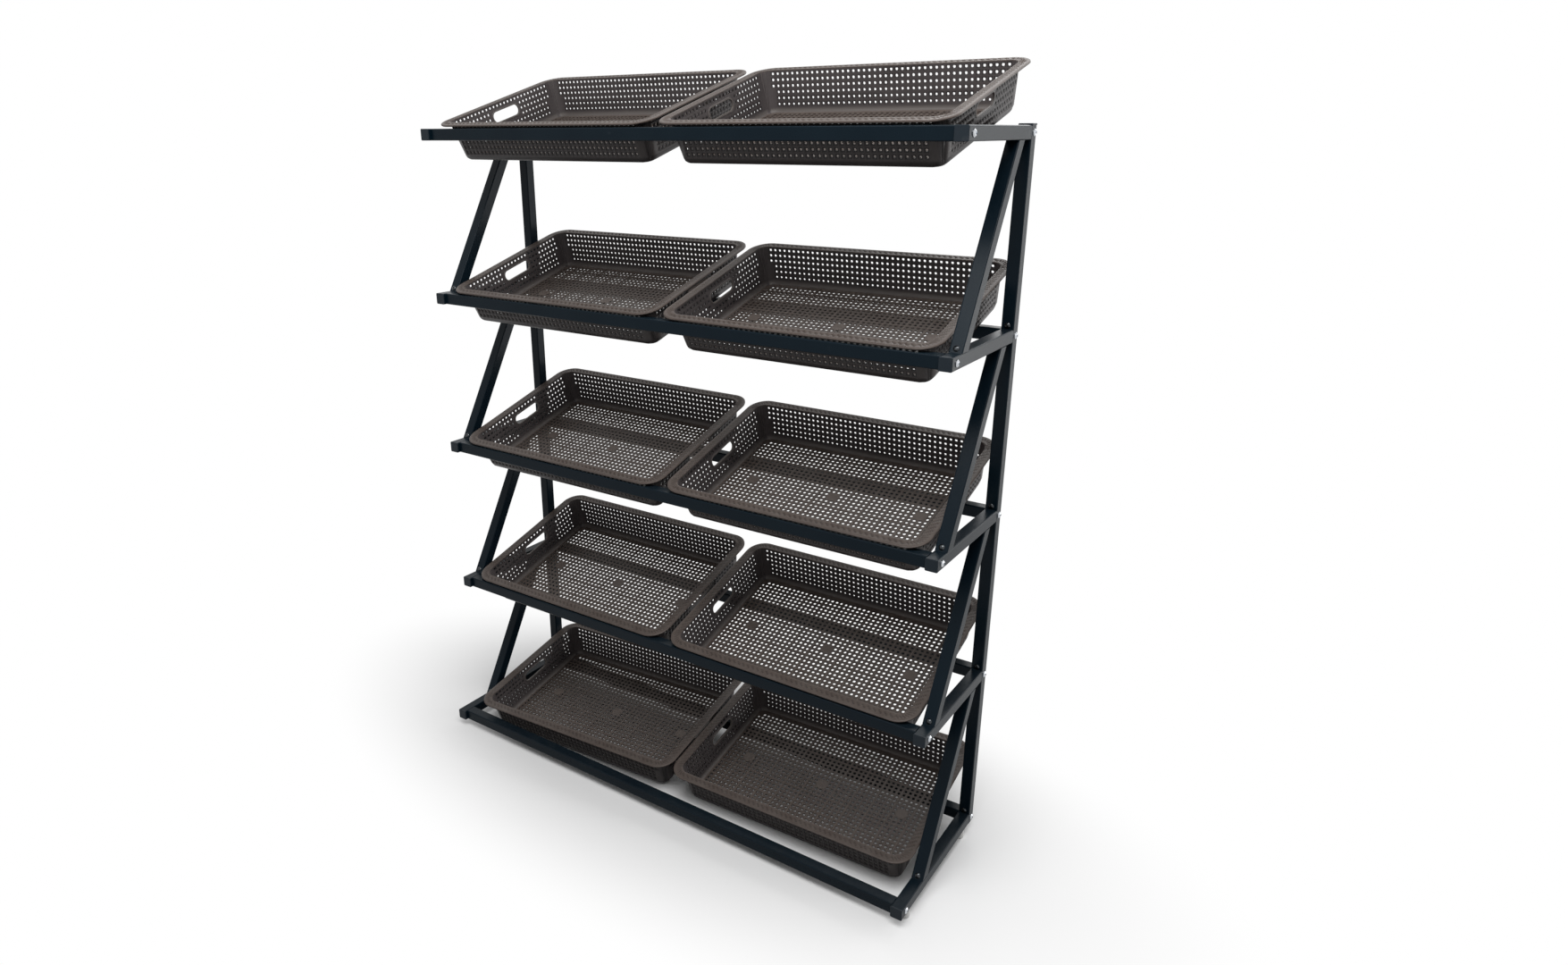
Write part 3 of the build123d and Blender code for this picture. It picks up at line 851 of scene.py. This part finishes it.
    def _cut_slots(self, sheet: Shell) -> None:
        """Opens the two hand slots in the flat wall sheet and gives each its border.

        Args:
            sheet: The flat wall sheet.
        """
        layout = self.layout
        for middle in (layout.quarter, 3 * layout.quarter):
            cells = []
            for face in sheet.faces:
                centre = face.calc_center_median()
                if abs(centre.x - middle) < layout.quarter and layout.in_slot_block(centre.x, centre.y):
                    cells.append(face)
            opening = bmesh.ops.dissolve_faces(sheet, faces=cells, use_verts=False)["region"][0]
            bmesh.ops.bisect_edges(sheet, edges=opening.edges[:], cuts=1)
            for share in self.SLOT_RINGS:
                self._slot_ring(sheet, opening, middle, self.shape.slot_border * share)
            bmesh.ops.delete(sheet, geom=[opening], context="FACES")

    def _slot_ring(self, sheet: Shell, opening: Face, middle: float, reach: float) -> None:
        """Insets the face that becomes a hand slot and draws its corners onto a long round ring.

        Args:
            sheet: The flat wall sheet.
            opening: The face.
            middle: The column of the slot's centre.
            reach: How far outside the slot's edge the ring runs.
        """
        layout, shape = self.layout, self.shape
        radius = (shape.slot_height / 2 + reach) / shape.pitch
        straight = (shape.slot_length - shape.slot_height) / 2 / shape.pitch
        row = layout.first_row + (shape.slot_centre - layout.cells_bottom) / shape.row_pitch
        bmesh.ops.inset_individual(sheet, faces=[opening], thickness=self.RING_START, use_even_offset=True)
        for corner in opening.verts:
            x, y = corner.co.x - middle, corner.co.y - row
            past = Vector((math.copysign(max(0.0, abs(x) - straight), x), y)).normalized() * radius
            corner.co.x = middle + min(straight, max(-straight, x)) + past.x
            corner.co.y = row + past.y

    def _walls(self) -> Shell:
        """Models the wall band: pierced walls, plain corners, hand slots and the rounded bottom edge.

        Returns:
            The shell.
        """
        layout = self.layout
        sheet = self._grid(layout.columns, layout.rows, (layout.columns / 2, layout.rows / 2))
        rows: dict[int, list[Face]] = {}
        for face in sheet.faces:
            centre = face.calc_center_median()
            if layout.has_hole(centre.x, centre.y) and not layout.in_slot_block(centre.x, centre.y):
                rows.setdefault(int(layout.rows - centre.y), []).append(face)
        for below_top, cells in rows.items():
            self._pierce(sheet, cells, self.shape.top_hole - below_top * self.shape.hole_step)
        self._cut_slots(sheet)
        half_way = self._thicken(sheet)
        seam = [
            face for face in sheet.faces
            if all(corner.co.x < SEAM for corner in face.verts)
            or all(corner.co.x > layout.columns - SEAM for corner in face.verts)]
        bmesh.ops.delete(sheet, geom=seam, context="FACES")
        relief = sheet.verts.layers.float.new(SHADE_AND_WEAR_MARKS)
        for corner in sheet.verts:
            column, row, outer = corner.co.x, corner.co.y, corner.co.z > half_way
            lift, corner[relief] = self._wall_relief(column, row, outer)
            corner.co = layout.on_wall(column, row, outer, lift)
        bmesh.ops.remove_doubles(sheet, verts=sheet.verts[:], dist=SEAM)
        return sheet

    def _wall_relief(self, column: float, row: float, outer: bool) -> Pair:
        """Works out the relief of the weave, the corner beads and the slot borders at a wall point, and the
        point's mark.

        Args:
            column: Column number round the basket.
            row: Row number from the bottom.
            outer: True for the outer face, False for the inner one.

        Returns:
            How far outwards the point moves, and its mark: below 0 darker, mostly as painted shade; above 0
            lighter, as painted highlight and, on outer crossings, rubbed wear.
        """
        layout, shape, shade_and_wear = self.layout, self.shape, self.shade_and_wear
        plain = shade_and_wear.outer_wall if outer else 0.0
        near_slot = layout.slot_distance(column, row) - shape.slot_height / 2
        # The raised border round a hand slot is lightened as a painted highlight.
        if near_slot < shape.slot_border * self.SLOT_PLAIN and row > layout.first_row:
            if near_slot > shape.slot_border * self.SLOT_PROUD:
                return 0.0, plain
            return shape.bead if outer else -shape.bead, shade_and_wear.slot_border
        past = layout.fold(column) - layout.LONG / 2
        if 0.0 < past < layout.strip:
            # The corner beads are lightened inside as a painted highlight.
            if round(past) in layout.BEADS and row >= layout.EDGE_ROWS:
                return -shape.bead, plain if outer else shade_and_wear.bead
            return 0.0, plain
        # Outside the pierced rows the inner rounded bottom edge is lightened like the beads, as a painted
        # highlight; the outer face is darker all over.
        if not layout.first_row <= row < layout.rows:
            return 0.0, shade_and_wear.bead if row <= layout.EDGE_ROWS and not outer else plain
        beside, above = (abs(value % 1.0 - 0.5) for value in (column, row))
        # Crossings are lighter: outside partly rubbed wear and partly painted highlight.
        if min(beside, above) > 0.5 - ON_LINE:
            return (shape.crossing, shade_and_wear.crossing) if outer else (0.0, shade_and_wear.inner_crossing)
        if max(beside, above) > 0.5 - ON_LINE:
            return 0.0, plain
        # Outer hole edges, and inner strands and lips beside the holes, are darkened as painted shade.
        if outer:
            return 0.0, shade_and_wear.pit
        return (shape.dip, shade_and_wear.strand) if beside > above else (0.0, shade_and_wear.lip)

    def _floor(self) -> Shell:
        """Models the pierced floor sheet, with a plain margin that runs into the walls.

        Returns:
            The shell.
        """
        layout, shape, shade_and_wear = self.layout, self.shape, self.shade_and_wear
        sheet = self._grid(layout.LONG + 2, layout.END + 2, (0.0, 0.0))
        cells = [face for face in sheet.faces if self._floor_hole(face.calc_center_median())]
        self._pierce(sheet, cells, shape.floor_hole)
        half_way = self._thicken(sheet)
        _, ring = layout.level(0.0, False)
        rise = shape.inner_edge - (shape.floor_top - shape.ring_top)
        spare = math.sqrt(shape.inner_edge ** 2 - rise ** 2) + shape.overlap
        edge = Outline(ring.half_length + spare, ring.half_depth + spare, ring.corner + spare)
        relief = sheet.verts.layers.float.new(SHADE_AND_WEAR_MARKS)
        for corner in sheet.verts:
            height = shape.floor_top if corner.co.z > half_way else shape.floor_top - shape.floor_sheet
            crossing = max(abs(value - round(value)) for value in corner.co[:2]) < ON_LINE
            # Floor crossings are lighter, partly rubbed wear and partly painted highlight; the rest, round
            # the holes, is darkened as painted shade.
            corner[relief] = shade_and_wear.crossing if crossing else shade_and_wear.floor
            x = self._floor_place(corner.co.x, layout.LONG / 2, edge.half_length)
            y = self._floor_place(corner.co.y, layout.END / 2, edge.half_depth)
            corner.co = (*edge.clamp(Vector((x, y))), height)
        return sheet

    def _floor_place(self, step: float, last: float, edge: float) -> float:
        """Works out where a place in the floor's cells lies.

        The edge of a hole beside a rib moves away from it, so that the strand there is wider. The outermost
        line goes to the floor's edge.

        Args:
            step: The place in cells from the middle.
            last: The last line of the pierced cells.
            edge: Half the floor's length or depth.

        Returns:
            The place in metres.
        """
        _, rib = min((abs(line - abs(step)), line) for line in self.RIB_LINES)
        gap = step - math.copysign(rib, step)
        near, far = self.BESIDE_RIB
        if near < abs(gap) < far:
            step += math.copysign(self.RIB_MARGIN, gap)
        past = abs(step) - last
        if past <= SEAM:
            return step * self.shape.pitch
        return math.copysign(last * self.shape.pitch * (1.0 - past) + edge * past, step)

    def _floor_hole(self, centre: Vector) -> bool:
        """Tells whether a floor cell is pierced.

        Args:
            centre: The cell's centre.

        Returns:
            True where it is.
        """
        layout, shape = self.layout, self.shape
        long_half, end_half = layout.LONG / 2, layout.END / 2
        across, along = abs(centre.x), abs(centre.y)
        if across > long_half or along > end_half or (across > long_half - 1 and along > end_half - 1):
            return False
        gaps = [math.hypot(centre.x - line, centre.y) for line in self.DISC_LINES]
        return min(gaps) * shape.pitch > (shape.disc - shape.floor_hole) / 2

    def _ribs(self) -> Shell:
        """Models the ribs that stiffen the floor from below.

        Returns:
            The shells.
        """
        layout, shape = self.layout, self.shape
        ribs = bmesh.new()
        _, ring = layout.level(0.0, False)
        lines = [sign * line for line in self.RIB_LINES for sign in (-1, 1)]
        for line in lines:
            offset = line * shape.pitch
            self._rib(ribs, (offset, 0.0), (shape.rib, 2 * ring.half_depth))
            if abs(line) < layout.END / 2:
                self._rib(ribs, (0.0, offset), (2 * ring.half_length, shape.rib))
        # The ribs are lightened as a painted highlight line.
        self._mark(ribs, self.shade_and_wear.rib)
        return ribs

    @staticmethod
    def _mark(shell: Shell, tone: float) -> None:
        """Gives a whole shell one mark: below 0 painted shade, above 0 painted highlight.

        Args:
            shell: The shell.
            tone: The mark.
        """
        relief = shell.verts.layers.float.new(SHADE_AND_WEAR_MARKS)
        for corner in shell.verts:
            corner[relief] = tone

    def _rib(self, ribs: Shell, middle: Pair, size: Pair) -> None:
        """Adds one straight rib with its lower edges broken.

        Args:
            ribs: The ribs so far.
            middle: Where its centre lies.
            size: Its length along x and along y.
        """
        foot, top = self.shape.rib_foot, self.shape.floor_top + self.shape.rib_rise
        place = Matrix.Translation((*middle, (top + foot) / 2)) @ Matrix.Diagonal((*size, top - foot, 1.0))
        block = bmesh.ops.create_cube(ribs, size=1.0, matrix=place)["verts"]
        self._blunt(ribs, self._edges_at(block, foot), self.shape.rib_break)

    def _discs(self) -> Shell:
        """Models the plain discs in the floor.

        Returns:
            The shells.
        """
        shape = self.shape
        foot, top = shape.disc_foot, shape.floor_top + shape.disc_rise
        discs = bmesh.new()
        for line in self.DISC_LINES:
            place = Matrix.Translation((line * shape.pitch, 0.0, (top + foot) / 2))
            disc = bmesh.ops.create_cone(
                discs, cap_ends=True, segments=self.DISC_SEGMENTS, radius1=shape.disc / 2,
                radius2=shape.disc / 2, depth=top - foot, matrix=place)["verts"]
            self._blunt(discs, self._edges_at(disc, top), shape.disc_break)
        # The discs are lightened as a painted highlight.
        self._mark(discs, self.shade_and_wear.disc)
        return discs

    def _rim(self) -> Shell:
        """Models the rim: a rounded band with slanting strokes pressed into its upper face.

        Returns:
            The shell.
        """
        around, across = self.layout.columns * self.RIM_STEPS, len(self.RIM_SECTION)
        ring = self._grid(around, across, (around / 2, across / 2))
        relief = ring.verts.layers.float.new(SHADE_AND_WEAR_MARKS)
        for corner in ring.verts:
            corner.co, corner[relief] = self._rim_point(round(corner.co.x), round(corner.co.y) % across)
        bmesh.ops.remove_doubles(ring, verts=ring.verts[:], dist=SEAM)
        return ring

    def _rim_point(self, step: int, part: int) -> tuple[Vector, float]:
        """Works out a point of the rim.

        Args:
            step: Step round the rim.
            part: Point of the rim's section.

        Returns:
            The point, and its mark from -1, painted shade, to 1, painted highlight.
        """
        layout, shape, shade_and_wear = self.layout, self.shape, self.shade_and_wear
        inset, rise = (value * MM for value in self.RIM_SECTION[part])
        column = step / self.RIM_STEPS
        _, wall = layout.level(layout.rows, True)
        outline = Outline(shape.rim_length / 2 - inset, shape.rim_depth / 2 - inset, shape.rim_corner - inset)
        on_end = layout.fold(column) > layout.LONG / 2 + layout.strip / 2
        strokes = self.END_STROKES if on_end else self.LONG_STROKES
        pressed = part in strokes and (step + part) % self.RIM_STEPS == 0
        height = shape.height + rise - (shape.stroke if pressed else 0.0)
        point = Vector((*layout.around(column, outline, wall, True), height))
        # The pressed strokes are darkened as painted shade; the rest of the rim is lightened a little as
        # painted highlight.
        return point, shade_and_wear.pit if pressed else shade_and_wear.rim


@dataclass
class Baskets:
    """The ten baskets, each where its CAD solid lies.

    Attributes:
        finishes: The materials of wall, floor and rim.
        shape: The sizes of a basket.
        shade_and_wear: A basket's marks of painted shade, painted highlight and rubbed wear.
        tiers: Number of tiers, with a basket on each side.
    """

    finishes: tuple[bpy.types.Material, ...]
    shape: BasketShape = BasketShape()
    shade_and_wear: ShadeAndWearMarks = ShadeAndWearMarks()
    tiers: int = 5

    def build(self) -> None:
        """Builds one basket and sets a copy of it on each place."""
        model = BasketBuilder(self.shape, self.shade_and_wear).mesh()
        for finish in self.finishes:
            model.materials.append(finish)
        for side in Side:
            for tier in range(1, self.tiers + 1):
                self._set(model, f"{side.value}_basket_{tier}")
        bpy.data.meshes.remove(model)

    def _set(self, model: bpy.types.Mesh, node: str) -> None:
        """Sets a copy of the basket in the place of a CAD node.

        Args:
            model: The basket's mesh in its own frame.
            node: The CAD node's name.
        """
        mesh = model.copy()
        mesh.name = node + "_woven"
        mesh.transform(self._place(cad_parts[node].data))
        basket = bpy.data.objects.new(node + "_woven", mesh)
        bpy.context.scene.collection.objects.link(basket)
        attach(basket, node)
        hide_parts(node)
        LOG.info("%s: %d faces", basket.name, len(mesh.polygons))

    @staticmethod
    def _place(solid: bpy.types.Mesh) -> Matrix:
        """Reads how a basket lies from its CAD solid.

        Args:
            solid: The CAD node's mesh.

        Returns:
            The turn and place that carry the basket's own frame onto the solid.
        """
        points = np.empty(len(solid.vertices) * 3)
        solid.vertices.foreach_get("co", points)
        points = points.reshape(-1, 3)
        solid.calc_loop_triangles()
        loops = np.empty(len(solid.loop_triangles) * 3, np.int64)
        solid.loop_triangles.foreach_get("vertices", loops)
        corners = points[loops].reshape(-1, 3, 3)
        sides = corners[:, 1:] - corners[:, :1]
        areas = np.linalg.norm(np.cross(sides[:, 0], sides[:, 1]), axis=1)
        corners = corners - np.average(corners.mean(axis=1), axis=0, weights=areas)
        sums = corners.sum(axis=1)
        moments = np.einsum("n,nki,nkj->ij", areas, corners, corners)
        moments += np.einsum("n,ni,nj->ij", areas, sums, sums)
        _, axes = np.linalg.eigh(moments)
        along = axes[:, 2] * np.sign(axes[0, 2])
        up = axes[:, 0] * np.sign(axes[2, 0])
        back = np.cross(up, along)
        reach = [points @ axis for axis in (along, back, up)]
        centre = [(span.min() + span.max()) / 2 for span in reach[:2]] + [reach[2].min()]
        origin = centre[0] * along + centre[1] * back + centre[2] * up
        return Matrix([*zip(along, back, up, origin), (0.0, 0.0, 0.0, 1.0)])


@dataclass
class SteelFrame:
    """The tube frame with its fixings, caps and glides, which keep their CAD solids.

    Attributes:
        materials: The material of every finish.
    """

    materials: dict[Finishes, bpy.types.Material]

    KINDS = {
        "rail_inserts": Finishes.STEEL,
        "post_spigots": Finishes.STEEL,
        "strut_lugs": Finishes.STEEL,
        "front_rail_bolts": Finishes.ZINC,
        "rear_rail_bolts": Finishes.ZINC,
        "post_screws": Finishes.SCREW,
        "strut_screws": Finishes.SCREW,
        "arm_end_plugs": Finishes.CAP,
        "post_caps": Finishes.CAP,
        "feet": Finishes.GLIDE,
    }

    def dress(self) -> None:
        """Gives every node of the frame its finish."""
        for name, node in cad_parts.items():
            if "basket" in name:
                continue
            finish = self.KINDS.get(name, Finishes.COAT)
            for slot in node.material_slots:
                slot.material = self.materials[finish]
            LOG.info("%s: %s", name, finish.value.name)


@dataclass(frozen=True)
class Camera:
    """The photograph's viewpoint, as a plain pinhole camera.

    Attributes:
        place: Where it stands, in metres.
        yaw: Turn to the left of the rack's depth.
        pitch: Tilt down.
        roll: Lean.
        focal: Focal length in pixels of the frame.
        centre: Where the optical axis meets the frame, in pixels.
        size: The frame in pixels.
        sensor: Sensor width in millimetres.
        reach: How far it sees, in metres.
    """

    place: tuple[float, float, float] = (1.2422, -1.71772, 1.49706)
    yaw: float = 0.60746
    pitch: float = 0.32852
    roll: float = -0.00474
    focal: float = 1110.48
    centre: Pair = (805.69, 525.32)
    size: tuple[int, int] = (1755, 1080)
    sensor: float = 36.0
    reach: float = 60.0

    def build(self) -> None:
        """Makes the scene's camera."""
        data = bpy.data.cameras.new("photo_camera")
        width, height = self.size
        data.sensor_fit = "HORIZONTAL"
        data.sensor_width = self.sensor
        data.lens = self.sensor * self.focal / width
        data.shift_x = (width / 2 - self.centre[0]) / width
        data.shift_y = (self.centre[1] - height / 2) / width
        data.clip_end = self.reach
        camera = bpy.data.objects.new("photo_camera", data)
        turn = Matrix.Rotation(self.yaw, 4, "Z") @ Matrix.Rotation(math.pi / 2 - self.pitch, 4, "X")
        turn @= Matrix.Rotation(self.roll, 4, "Z")
        camera.matrix_world = Matrix.Translation(self.place) @ turn
        bpy.context.scene.collection.objects.link(camera)
        bpy.context.scene.camera = camera


@dataclass(frozen=True)
class Softbox:
    """A soft rectangular lamp.

    Attributes:
        name: The lamp's name.
        place: Where it hangs.
        aim: The point it looks at.
        size: Its width and height.
        power: Its power in watts.
    """

    name: str
    place: tuple[float, float, float]
    aim: tuple[float, float, float]
    size: Pair
    power: float

    def build(self) -> None:
        """Hangs the lamp."""
        data = bpy.data.lights.new(self.name, "AREA")
        data.shape = "RECTANGLE"
        data.size, data.size_y = self.size
        data.energy = self.power
        lamp = bpy.data.objects.new(self.name, data)
        lamp.location = self.place
        look = Vector(self.aim) - Vector(self.place)
        lamp.rotation_euler = look.to_track_quat("-Z", "Y").to_euler()
        bpy.context.scene.collection.objects.link(lamp)


@dataclass(frozen=True)
class Studio:
    """The pale floor, the white background and the lamps.

    Attributes:
        floor_half: Half the floor's width.
        fill: Light that comes from all round.
        footprint: Half the width and depth of the floor under the rack, where its shading shows in full.
        floor_fade: How many footprints away the shading starts to fade to white, and where it is gone.
        matt: The floor's colour where its shading shows.
        bounce: The floor's colour for light that it sends back up.
        lamps: The soft lamps.
    """

    floor_half: float = 40.0
    fill: float = 0.30
    footprint: Pair = (0.66, 0.30)
    floor_fade: Pair = (0.85, 2.0)
    matt: Colour = (0.94, 0.94, 0.94)
    bounce: Colour = (0.35, 0.35, 0.35)
    lamps: tuple[Softbox, ...] = (
        Softbox("top_softbox", (0.6, -1.0, 2.7), (0.1, 0.0, 0.9), (2.0, 1.2), 44.0),
        Softbox("right_softbox", (3.4, 0.2, 1.9), (0.0, 0.0, 0.8), (1.6, 2.4), 5.0),
        Softbox("rear_softbox", (2.5, 2.3, 0.9), (0.3, 0.0, 0.7), (1.8, 1.8), 28.0),
        Softbox("back_softbox", (0.3, 2.6, 2.6), (0.0, 0.2, 0.8), (2.4, 1.6), 28.0),
    )

    def build(self) -> None:
        """Sets up floor, background and lamps."""
        bpy.context.scene.view_settings.view_transform = "Standard"
        self._floor()
        self._background()
        for lamp in self.lamps:
            lamp.build()

    def _floor(self) -> None:
        """Lays the pale floor, which keeps a faint shadow."""
        sheet = bmesh.new()
        bmesh.ops.create_grid(sheet, x_segments=1, y_segments=1, size=self.floor_half)
        mesh = bpy.data.meshes.new("studio_floor")
        sheet.to_mesh(mesh)
        sheet.free()
        floor = bpy.data.objects.new("studio_floor", mesh)
        bpy.context.scene.collection.objects.link(floor)
        mesh.materials.append(self._floor_paint())

    def _floor_paint(self) -> bpy.types.Material:
        """Makes the floor's material: white to the eye and to reflections, with the shadows kept.

        Returns:
            The material.
        """
        material = bpy.data.materials.new("studio_floor_paint")
        sketch = Sketch.afresh(material)
        seen = self._seen(sketch)
        place = sketch.add("TexCoord").outputs["Object"]
        steps = sketch.add("VectorMath", {0: place, 1: (*self.footprint, 1.0)}, operation="DIVIDE").outputs[0]
        away = sketch.add("VectorMath", {0: steps}, operation="LENGTH").outputs["Value"]
        share = sketch.remap(away, self.floor_fade, (1.0, 0.0))
        matt = sketch.add("BsdfDiffuse", {"Color": (*self.matt, 1.0)})
        glow = sketch.add("Emission", {"Color": WHITE, "Strength": 1.0})
        soft = sketch.add("MixShader", {0: share, 1: glow.outputs[0], 2: matt.outputs[0]})
        bounce = sketch.add("BsdfDiffuse", {"Color": (*self.bounce, 1.0)})
        whole = sketch.add("MixShader", {0: seen, 1: bounce.outputs[0], 2: soft.outputs[0]})
        sketch.add("OutputMaterial", {"Surface": whole.outputs[0]})
        return material

    @staticmethod
    def _seen(sketch: Sketch) -> Socket:
        """Picks out the rays that show floor and background to the eye.

        Args:
            sketch: The material's or background's nodes.

        Returns:
            1 for rays from the camera, in reflections and through clear things, 0 for the rest.
        """
        rays = sketch.add("LightPath").outputs
        shown = sketch.math("MAXIMUM", rays["Is Camera Ray"], rays["Is Glossy Ray"])
        return sketch.math("MAXIMUM", shown, rays["Is Transmission Ray"])

    def _background(self) -> None:
        """Makes the background white to the eye and an even soft fill for the light."""
        world = bpy.data.worlds.new("studio_background")
        sketch = Sketch.afresh(world)
        strength = sketch.remap(self._seen(sketch), WHOLE, (self.fill, 1.0))
        light = sketch.add("Background", {"Color": WHITE, "Strength": strength})
        sketch.add("OutputWorld", {"Surface": light.outputs[0]})
        bpy.context.scene.world = world


def main() -> None:
    logging.basicConfig(level=logging.INFO, format="%(name)s: %(message)s")
    Camera().build()
    Studio().build()
    effects = Effects()
    materials = {finish: finish.value.material(effects) for finish in Finishes}
    SteelFrame(materials).dress()
    moulded = tuple(materials[finish] for finish in (Finishes.WALL, Finishes.FLOOR, Finishes.RIM))
    Baskets(moulded).build()


if __name__ == "__main__":
    main()
